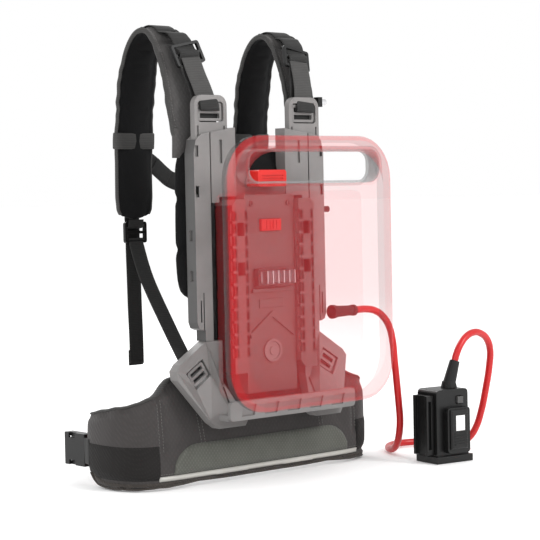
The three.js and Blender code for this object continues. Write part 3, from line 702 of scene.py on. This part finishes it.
def belt_body():
    rings = []
    for s in np.linspace(0.001, 0.999, 130):
        left = min(s, 1 - s) * BELT_LENGTH
        end = min(1.0, 0.3 + left / 18)
        rings.append([belt_at(s, 0.5 + 0.5 * u, v * end * BELT_HALF_THICKNESS)[0]
                      for u, v in squared(0.5, 0.75, 32)])
    return loft("hip_belt_pad", rings, MAT["belt"])


belt_line_m = belt_line * MM + np.array([0, CENTRE_Y])
BELT_SEAMS = (0.218, 0.325, 0.675, 0.782)  # cross seams, as shares of the belt's length
BELT_TOP_SEAM, BELT_LOW_SEAM_Z = 0.93, 15
BELT_HEIGHT = 120  # the belt's usual height, for the widths of its seams


def belt_place(co):
    """Each point's share along the belt, its share up it, and how far out it is."""
    z = co[:, 2] / MM
    plan = co[:, :2].copy()
    side = np.abs(plan[:, 0]) / MM
    plan[:, 1] -= BELT_LEAN * co[:, 2] * (1 - smoothstep(side, 140, 200))
    k = nearest_station(plan, belt_line_m)
    s = k / (BELT_STATIONS - 1)
    out = ((plan - belt_line_m[k]) * belt_out[k]).sum(1)
    low, high = belt_heights(s)
    return s, (z - low) / (high - low), out


def belt_seam(co):
    """How near each point is to the belt's seams."""
    s, h, out = belt_place(co)
    top = ridge((h - BELT_TOP_SEAM) * BELT_HEIGHT, 3.0)
    seam = np.maximum(top, ridge(co[:, 2] / MM - BELT_LOW_SEAM_Z, 2.6))
    for at in BELT_SEAMS:
        seam = np.maximum(seam, ridge((s - at) * BELT_LENGTH, 3.0) * (h > 0.3))
    return np.where(out > 0, seam, np.maximum(top, ridge((h - 0.5) * BELT_HEIGHT, 3.0)))


# ---------------- back pad
pad_low, pad_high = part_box("back_pad")


def back_pad_body():
    """A rounded cushion that thins towards its edges."""
    centre, half = (pad_low + pad_high) / 2, (pad_high - pad_low) / 2
    rings = []
    for t in np.linspace(-1, 1, 15):
        inset = 0.012 * abs(t) ** 2
        y = centre.y + t * half.y * 0.86
        rings.append([Vector((centre.x + u * (half.x - inset), y, centre.z + v * (half.z - inset)))
                      for u, v in squared(0.2, 0.2, 72)])
    return loft("back_cushion", rings, MAT["mesh"])


PAD_SEAM_X, PAD_SEAMS_Z, PAD_SEAM_WIDTH = 0.042, (0.32, 0.39), 0.004


def back_pad_seam(co):
    seam = np.zeros(len(co))
    for x in (-PAD_SEAM_X, PAD_SEAM_X):
        seam = np.maximum(seam, ridge(co[:, 0] - x, PAD_SEAM_WIDTH))
    for z in PAD_SEAMS_Z:
        seam = np.maximum(seam, ridge(co[:, 2] - z, PAD_SEAM_WIDTH) * (np.abs(co[:, 0]) > PAD_SEAM_X))
    return np.where(co[:, 1] > (pad_low.y + pad_high.y) / 2, seam, 0)


strap_pad = strap_body()
belt_pad = belt_body()
back_cushion = back_pad_body()
remeshed(strap_pad, 0.0045)
remeshed(belt_pad, 0.0058)
remeshed(back_cushion, 0.0055)
stuff([(strap_pad, 4.0, 0.005, strap_seam), (belt_pad, 4.0, 0.007, belt_seam),
       (back_cushion, 3.0, 0.005, back_pad_seam)])


def painted(piece, materials, chosen):
    """Gives each face one of several materials, by number."""
    piece.data.materials.clear()
    for m in materials:
        piece.data.materials.append(m)
    piece.data.polygons.foreach_set("material_index", [int(c) for c in chosen])


def face_centres(piece):
    co = np.array([p.center for p in piece.data.polygons])
    normals = np.array([p.normal for p in piece.data.polygons])
    return co, normals


FACING_WEARER = -0.25  # the strap's inner faces, where the mesh is, turn away at least this much
LINING_SHARE = 0.1  # the red lining's length inside each end of the belt, as a share of the belt's
centres, normals = face_centres(strap_pad)
k = nearest_station(centres[:, 1:], strap_line_m)
facing = (normals[:, 1:] * strap_out[k]).sum(1)
painted(strap_pad, [MAT["outer"], MAT["mesh"]], facing < FACING_WEARER)
centres, _ = face_centres(belt_pad)
share, _, outside = belt_place(centres)
in_lining = (share > 1 - LINING_SHARE) | (share < LINING_SHARE)
painted(belt_pad, [MAT["belt"], MAT["mesh"], MAT["lining"]],
        np.where(outside > 0, 0, np.where(in_lining, 2, 1)))

# pieces of the right strap; each is mirrored for the left one
strap_tree = tree_of(strap_pad)
right_strap_pieces = [(strap_pad, "strap_pad", "padded_fabric")]


def strap_piece(piece, name, slot):
    right_strap_pieces.append((piece, name, slot))


def edge_binding(sign):
    points, outs = [], []
    for s in np.linspace(0.01, 0.985, 130):
        p = strap_at(s, sign)[0]
        side = Vector((sign, 0, 0))
        points.append(onto(strap_tree, p, side, 0.03))
        outs.append(side)
    rings = rings_along(softened(points), outs, 0.0075, 0.0036, ROUND)
    return loft(f"binding_{sign}", rings, MAT["binding"])


for sign, label in ((1, "outer"), (-1, "inner")):
    strap_piece(edge_binding(sign), f"strap_binding_{label}", "webbing")
    seam = [strap_at(s, sign * STRAP_EDGE_SEAM, STRAP_CLEAR) for s in np.linspace(0.02, 0.97, 160)]
    strap_piece(stitches(f"st_{label}", strap_tree, seam), f"strap_stitches_{label}", "webbing")


def strap_patch(name, low, high, half_width, lift, material, rows=40, cols=9):
    grid = [[strap_at(s, u, STRAP_CLEAR) for u in np.linspace(-half_width, half_width, cols)]
            for s in np.linspace(low, high, rows)]
    return laid(name, strap_tree, grid, lift, material)


def keeper_band(at, span, name):
    """A band round the strap, thickest in its middle."""
    rings = []
    for t, grow in ((0, 0.2), (0.06, 1.0), (0.5, 1.25), (0.94, 1.0), (1, 0.2)):
        s = at + (t - 0.5) * span
        half = STRAP_THICKNESS / 2 + 1.6 + 0.7 * grow
        rings.append([strap_at(s, u * (1.0 + 0.03 * grow), v * half)[0] for u, v in squared(0.45, 0.7, 40)])
    return loft(name, rings, MAT["binding"])


# webbing sewn down the outer face, from the cap at the top to the end buckle
strap_piece(strap_patch("sewn_web", 0.45, 0.985, 0.36, 0.0026, MAT["strap"], 110),
            "strap_sewn_webbing", "webbing")
strap_piece(keeper_band(0.757, 0.05, "keeper_a"), "strap_keeper", "webbing")


# ---------------- webbing of the straps
def line_points(points, count):
    return [place(*p) for p in smooth_line(points, count)]


def facing_normals(points):
    """Normals square to a line in a plane across X. Where the line climbs, they face the battery."""
    along = unit(np.gradient(np.array([tuple(p) for p in points]), axis=0))
    return [Vector((0, -t[2], t[1])) for t in along]


def strap_strip(name, route, count, width, thickness, material="strap", outward=None):
    """Webbing that rides with the right strap. outward is given where it stays flat."""
    points = line_points(route, count)
    outs = [Vector(outward)] * count if outward else facing_normals(points)
    strap_piece(webbing(name, points, outs, width, thickness, MAT[material]), name, "webbing")


WEARER = (0, 1, 0)
strap_strip("lifter_webbing", [(85.5, -5.5, 494), (86, -5.6, 508), (88.5, -5, 522), (93, -1.5, 545),
                               (97, 3.5, 560), (99.5, 7, 574)], 40, 0.038, 0.0022)
strap_strip("lifter_tail", [(99, 7.2, 583), (98.2, 4.2, 575), (96.4, -1.5, 560), (93.5, -7, 545),
                            (90.5, -10.8, 531), (88.5, -13.2, 519), (87.8, -15, 511)],
            40, 0.033, 0.0021, "strap_light")
strap_strip("lifter_hem", [(87.9, -15.2, 514), (87.6, -18.4, 510), (88.2, -18.2, 517), (89, -16.4, 524)],
            16, 0.033, 0.002)
strap_strip("slider_lock_webbing", [(85.5, -5.4, 524), (85.5, -7.4, 517), (85.5, -9, 509),
                                    (85.5, -8.9, 499)], 16, 0.036, 0.0015)

# webbing threaded over the bars of the ladder-lock and sewn down over the top of the strap
weave_route = [(99.6, 8.5, 574.5), (100.2, 10, 579.5), (99.8, 8.6, 583), (99.6, 7.8, 588.5),
               (100.2, 10.4, 592), (101, 14.6, 595), (102, 18.4, 601), (102.6, 21.5, 607),
               (103.2, 26, 612), (104, 33, 617.5)]
points = [place(*p) for p in weave_route]
for s in np.linspace(0.335, 0.46, 16):
    p, n = strap_at(s, -0.02, 16)
    points.append(onto(strap_tree, p, n) + n * 0.0014)
points = [Vector(p) for p in smooth_line([tuple(p) for p in points], 110)]
strap_piece(webbing("over_web", points, facing_normals(points), 0.034, 0.0022, MAT["strap"]),
            "strap_top_webbing", "webbing")

# cap sewn over the webbing at the strap's top, with a bar tack
CAP_LOW, CAP_HIGH = 0.405, 0.452
strap_cap = strap_patch("top_cap", CAP_LOW, CAP_HIGH, 0.66, 0.0052, MAT["belt_end"], 24)
strap_piece(strap_cap, "strap_top_cap", "padded_fabric")
tack = [strap_at(CAP_LOW + 0.012, u, 20) for u in np.linspace(-0.5, -0.2, 14)]
strap_piece(stitches("tack", tree_of(strap_cap), tack, 0.0014, 0.0012, 0.0022, "label"),
            "strap_bar_tack", "webbing")

strap_strip("loose_tail", [(106, 139.8, 352), (106, 140.4, 320), (105.5, 140.2, 280), (104.6, 140.6, 235),
                           (104, 140, 195), (103.6, 140.3, 156)], 60, 0.025, 0.0022, outward=WEARER)
strap_strip("loose_tail_hem", [(103.6, 142.6, 176), (103.6, 142.9, 164), (103.6, 142.4, 154)],
            12, 0.0252, 0.0024, outward=WEARER)
strap_strip("chest_strap", [(100, 143.5, 452), (86, 143.4, 450), (72, 141.6, 445), (52, 141.2, 430),
                            (38, 141.2, 420), (22, 141.2, 414)], 50, 0.025, 0.0022, "strap_across", WEARER)
strap_strip("chest_tail", [(66, 138.5, 440), (52, 138.2, 428.5), (40, 138.3, 420)],
            24, 0.0245, 0.002, "strap_across", WEARER)
# loop that ties the strap's end to its buckle
strap_strip("strap_end_loop", [(107, 139.5, 372), (107, 139.3, 360), (107, 137.2, 352), (107, 134.4, 350.6),
                               (107, 131.5, 352), (107, 128.8, 362)], 24, 0.026, 0.0021)

REPLACED = {"strap_pad": "shoulder_strap", "lifter_webbing": "lifter_webbing", "loose_tail": "webbing_tail",
            "chest_strap": "chest_webbing"}
for piece, name, slot in right_strap_pieces:
    twin = mirrored(piece, f"left_{name}")
    piece.name = f"right_{name}"
    for side, item, sign in (("right", piece, 1), ("left", twin, -1)):
        if name in REPLACED:
            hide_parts(f"{side}_{REPLACED[name]}")
        if name == "lifter_hem":
            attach(item, f"{side}_slider_lock")
        elif name == "lifter_tail":
            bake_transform(item)
        else:
            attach(item, f"{side}_slider")


def two_sides(name, points, width, thickness, material):
    """A strip on the right, and then its mirror image on the left."""
    for side in ("right", "left"):
        piece = webbing(f"{side}_{name}", points, facing_normals(points), width, thickness, MAT[material])
        yield side, flipped(piece) if side == "left" else piece


# webbing behind the bars of the foot brackets' ladder-locks
BRACKET_X, BRACKET_Z, BRACKET_TILT = 119, 152, math.radians(32)
points = []
for up, y in ((-11.5, -11.6), (-6, -12.6), (3, -12.6), (9, -11), (11.5, -6), (12, -3)):
    points.append((BRACKET_X + up * math.sin(BRACKET_TILT), y, BRACKET_Z + up * math.cos(BRACKET_TILT)))
for side, piece in two_sides("bracket_webbing", line_points(points, 24), 0.027, 0.0018, "strap"):
    root_piece(piece)

# sleeve between the back cushion and the strap's root
points = line_points([(107, 11, 446), (107, 10.5, 458), (107, 10, 470), (107, 11, 486)], 14)
for side, piece in two_sides("strap_root", points, 0.048, 0.008, "outer"):
    tuple(points[2])
    tuple(points[-4])
    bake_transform(piece)

# lower webbing; the real one pays out
points = line_points([(120.5, -1, 160), (117, 45, 212), (112, 100, 278), (106.5, 130, 326),
                      (106, 133, 336)], 60)
for side, piece in two_sides("lower_strap", points, 0.025, 0.0022, "strap"):
    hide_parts(f"{side}_lower_webbing")
    tuple(points[2])
    tuple(points[-8])
    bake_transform(piece)

# ---------------- dressing of the belt
belt_tree = tree_of(belt_pad)
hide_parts("belt_centre_pad", "left_belt_wing", "right_belt_wing")
root_piece(belt_pad)


def belt_patch(name, low, high, bottom, top, lift, material, cols=160, rows=7):
    """A patch on the belt's outer face. bottom and top give its edges' heights in mm along it."""
    grid = []
    for t in np.linspace(0, 1, rows):
        heights = [(s, bottom(s) + (top(s) - bottom(s)) * t) for s in np.linspace(low, high, cols)]
        grid.append([belt_at(s, belt_z(s, z), BELT_CLEAR) for s, z in heights])
    return laid(name, belt_tree, grid, lift, material)


POCKET_LOW, POCKET_HIGH, POCKET_CORNER = 0.245, 0.755, 0.065


def pocket_top(s):
    """Height of the pocket's upper edge, which curves down to its lower corners."""
    corner = max(0.0, 1 - min(s - POCKET_LOW, POCKET_HIGH - s) / POCKET_CORNER)
    return 20 + 38 * math.sqrt(max(0.0, 1 - corner ** 2))


root_piece(belt_patch("belt_pocket", POCKET_LOW, POCKET_HIGH, lambda s: 19, pocket_top, 0.0022,
                      MAT["panel"]))
for side, low, high in (("left", 0.012, 0.213), ("right", 0.787, 0.988)):
    root_piece(belt_patch(f"{side}_belt_end_panel", low, high, lambda s: max(14, belt_heights(s)[0] + 9),
                          lambda s: 60, 0.0012, MAT["belt_end"], 90, 9))
root_piece(belt_patch("belt_bottom_band", 0.02, 0.98, lambda s: belt_heights(s)[0] + 0.5,
                      lambda s: belt_heights(s)[0] + 10.5, 0.0016, MAT["piping"], 200, 5))
root_piece(belt_patch("belt_reflective_strip", 0.21, 0.79, lambda s: 11.6, lambda s: 18.2, 0.0028,
                      MAT["reflective"], 170, 4))


def belt_edge(h_edge, width, thickness, name, material):
    """Piping round the belt's edge at its bottom, 0, or top, 1."""
    outward = Vector((0, 0, 2 * h_edge - 1))
    points = [onto(belt_tree, belt_at(s, h_edge)[0], outward, 0.03) for s in np.linspace(0.02, 0.98, 190)]
    rings = rings_along(softened(points), [outward] * len(points), width, thickness, ROUND)
    return loft(name, rings, material)


root_piece(belt_edge(1, 0.010, 0.0042, "belt_top_binding", MAT["binding"]))
piping = belt_edge(0, 0.014, 0.0046, "belt_bottom_piping", MAT["piping"])
for v in piping.data.vertices:
    v.co.z = max(v.co.z, 0.0004)  # just clear of the floor
root_piece(piping)


def belt_row(name, low, high, z, count=150):
    row = [belt_at(s, belt_z(s, z), BELT_CLEAR) for s in np.linspace(low, high, count)]
    root_piece(stitches(name, belt_tree, row))


belt_row("belt_stitches_left", 0.02, 0.21, 58)
belt_row("belt_stitches_right", 0.79, 0.98, 58)
belt_row("belt_stitches_pocket", 0.31, 0.69, 55)
belt_row("belt_stitches_low", 0.03, 0.97, 21, 260)


def belt_column(name, s):
    column = [belt_at(s, h, BELT_CLEAR) for h in np.linspace(0.35, 0.92, 30)]
    root_piece(stitches(name, belt_tree, column))


for index, s in enumerate(BELT_SEAMS):
    belt_column(f"belt_seam_{index}a", s - 0.005)
    belt_column(f"belt_seam_{index}b", s + 0.005)

# belt webbing: it comes out at the wing's end and runs to the buckle
BELT_WEB_Z, BUCKLE_END = 47, place(-214, 116, 46.5)
for side in ("left", "right"):
    route, outs = [], []
    for s in np.linspace(0.03, 0.012, 20):
        p, n = belt_at(s, belt_z(s, BELT_WEB_Z), BELT_CLEAR)
        route.append(onto(belt_tree, p, n) + n * 0.0004)
        outs.append(belt_at(s, 0.5)[1])
    route += [route[-1].lerp(BUCKLE_END, 0.5) + Vector((-0.002, 0, 0)), BUCKLE_END]
    outs += [Vector((-1, 0, 0))] * 2
    band = webbing(f"{side}_belt_webbing", route, outs, 0.036, 0.0022, MAT["strap_across"])
    root_piece(flipped(band) if side == "right" else band)

# back cushion
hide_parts("back_pad")
root_piece(back_cushion)


# ---------------- battery
def rounded_outline(x0, x1, z0, z1, radius, count=9):
    """A rectangle with rounded corners, in millimetres."""
    points = []
    for cx, cz, start in ((x1 - radius, z1 - radius, 0), (x0 + radius, z1 - radius, 90),
                          (x0 + radius, z0 + radius, 180), (x1 - radius, z0 + radius, 270)):
        for a in np.radians(np.linspace(start, start + 90, count)):
            points.append((cx + radius * math.cos(a), cz + radius * math.sin(a)))
    return points


def ring_band(outer, inner, count):
    """Faces between two rings of the same number of points, numbered by ring."""
    a, b = outer * count, inner * count
    return [(a + j, a + (j + 1) % count, b + (j + 1) % count, b + j) for j in range(count)]


def shell_solid(name, outline, hole, front, back, soft_front, soft_back, materials):
    """A plate with rounded edges, and with a hole if one is given.

    Materials are for the face, the back, the rim's inner and outer part, and the side."""
    count = len(outline)
    rings, paint = [], []

    def ring(points, inset, y):
        p = np.array(points)
        mid = (p.min(0) + p.max(0)) / 2
        half = (p.max(0) - p.min(0)) / 2
        scaled = mid + (p - mid) * (half - inset) / half
        return [place(x, y, z) for x, z in scaled]

    def add(points, inset, y, material):
        rings.append(ring(points, inset, y))
        paint.append(material)

    if hole:
        add(hole, 0, front + 4, 1)
        add(hole, -1.2, front + 1.2, 3)
        add(hole, -4, front, 2)
    (wide, deep), (wide_b, deep_b) = soft_front, soft_back
    add(outline, wide, front, 0)
    for k in range(1, 7):
        angle = math.pi / 12 * k
        add(outline, wide * (1 - math.sin(angle)), front + deep * (1 - math.cos(angle)), 2 if k < 4 else 3)
    for k in range(0, 5):
        angle = math.pi / 8 * k
        add(outline, wide_b * (1 - math.cos(angle)), back - deep_b * (1 - math.sin(angle)), 4)
    if hole:
        add(hole, -4, back, 1)
        add(hole, 0, back - 4, 4)
    verts = [p for r in rings for p in r]
    last = len(rings) - 1
    faces, numbers = [], []
    for i in range(last):
        faces += ring_band(i, i + 1, count)
        numbers += [paint[i + 1]] * count
    if hole:
        faces += ring_band(last, 0, count)
        numbers += [4] * count
    else:
        faces += [tuple(range(count)), tuple(last * count + j for j in range(count))]
        numbers += [0, 1]
    piece = make(name, verts, faces, materials[0])
    painted(piece, materials, numbers)
    return piece


# the last of these, for the shell's sides, is painted shade
GHOST = [MAT[n] for n in ("ghost_face", "ghost_back", "ghost_mid", "ghost_rim", "ghost_side_shade")]
front_shell = shell_solid("battery_case", rounded_outline(-148, 148, 106, 472, 58),
                          rounded_outline(-120, 120, 408, 454, 21), -134, -108, (22, 10), (9, 7), GHOST)
rear_shell = shell_solid("battery_rear_case", rounded_outline(-110, 110, 120, 398, 12), None,
                         -107.7, -49, (3, 3), (6, 6), [MAT["ghost_rear"]] * 5)
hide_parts("battery_front_shell", "cell_pack", "battery_board", "battery_socket")
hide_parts("battery_rear_shell")
for piece in (front_shell, rear_shell):
    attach(piece, "battery")
nodes["battery_grip_sleeve"].data.materials[0] = MAT["ghost_grey"]


# ---------------- the dock's slots, as near black plates of painted shade
CHANNEL_FRONT, RACK_PITCH, RACK_LONG = -46, 17, 13
for side, sign in (("left", -1), ("right", 1)):
    verts, faces = [], []
    for x0, x1 in ((48.6, 53.2), (68.2, 72.4)):
        for z in np.arange(172, 368, RACK_PITCH):
            start = len(verts)
            for y in (CHANNEL_FRONT + 0.3, CHANNEL_FRONT - 0.35):
                verts += [place(sign * x, y, z + up)
                          for x, up in ((x0, 0), (x1, 0), (x1, RACK_LONG), (x0, RACK_LONG))]
            faces += [tuple(start + i for i in face) for face in
                      ((0, 1, 2, 3), (7, 6, 5, 4), (0, 4, 5, 1), (1, 5, 6, 2), (2, 6, 7, 3), (3, 7, 4, 0))]
    channel_shade = make(f"{side}_dock_slot_shade", verts, faces, MAT["channel_shade"], smooth=False)
    channel_shade.data.validate()
    root_piece(channel_shade)

# ---------------- adapter details
ADAPTER_AT, ADAPTER_TURN = (262, -112), math.radians(-8)
BOSS_FRONT = -31.3  # the front of the adapter's cover, in the adapter's own axes


def adapter_at(x, y, z):
    """A point in the adapter's own axes, in millimetres."""
    c, s = math.cos(ADAPTER_TURN), math.sin(ADAPTER_TURN)
    return place(x * c - y * s + ADAPTER_AT[0], x * s + y * c + ADAPTER_AT[1], z)


def adapter_plate(name, x, z, front, thickness, bevel, material):
    """A plate with chamfered edges on the adapter's front. x and z are ranges, front its outer face."""
    rings = []
    for inset, y in ((0, front + thickness), (0, front + bevel), (bevel, front)):
        left, right, low, high = x[0] + inset, x[1] - inset, z[0] + inset, z[1] - inset
        corners = ((left, low), (right, low), (right, high), (left, high))
        rings.append([adapter_at(a, y, b) for a, b in corners])
    return root_piece(loft(name, rings, material, smooth=False))


adapter_extras = [
    adapter_plate("adapter_boss_step", (-12, 19), (20, 77), BOSS_FRONT - 4, 3.9, 2.2, MAT["black"]),
    adapter_plate("adapter_label", (-4, 12), (47, 69), BOSS_FRONT - 4.35, 0.3, 0.1, MAT["label"]),
]
for index, z in enumerate(range(26, 43, 4)):
    adapter_extras.append(adapter_plate(f"adapter_rib_{index}", (-7, 15), (z, z + 1.8), BOSS_FRONT - 4.9,
                                        0.9, 0.4, MAT["black"]))

# ---------------- the cord's route, sampled finely
fine = smooth_line([tuple(place(*p)) for p in CABLE_ROUTE], 600)
tuple(place(*CABLE_ROUTE[0]))

# ---------------- floor and light
FLOOR, FLOOR_DROP = 60, -0.0006
corners = [(x * FLOOR, y * FLOOR, FLOOR_DROP) for x, y in ((-1, -1), (1, -1), (1, 1), (-1, 1))]
floor_data = bpy.data.meshes.new("floor")
floor_data.from_pydata(corners, [], [(0, 1, 2, 3)])
floor = added("floor", floor_data)
paint = plastic("floor_paint", (0.93, 0.93, 0.93), 0.9, grain=50, depth=0.00001, varied=0.01, specular=0.1)
floor_data.materials.append(paint)
put(paint.node_tree.nodes["Principled BSDF"], Emission_Color=(1, 1, 1, 1), Emission_Strength=0.12)

world = bpy.data.worlds.new("world")
bpy.context.scene.world = world
world.use_nodes = True
put(world.node_tree.nodes["Background"], Color=(1.0, 1.0, 1.0, 1), Strength=1.0)


def area_light(name, at, aim, size, power):
    light = added(name, bpy.data.lights.new(name, "AREA"))
    light.data.shape = "DISK"
    light.data.size = size
    light.data.energy = power
    light.location = at
    light.rotation_euler = (Vector(aim) - Vector(at)).to_track_quat("-Z", "Y").to_euler()


area_light("key", (0.9, -2.6, 1.9), (0, 0, 0.35), 1.0, 46)
area_light("fill", (-2.4, -1.0, 1.6), (0, 0, 0.3), 1.4, 14)
area_light("back", (0.6, 2.6, 1.8), (0, 0, 0.35), 1.4, 30)
bpy.context.scene.view_settings.view_transform = "Standard"
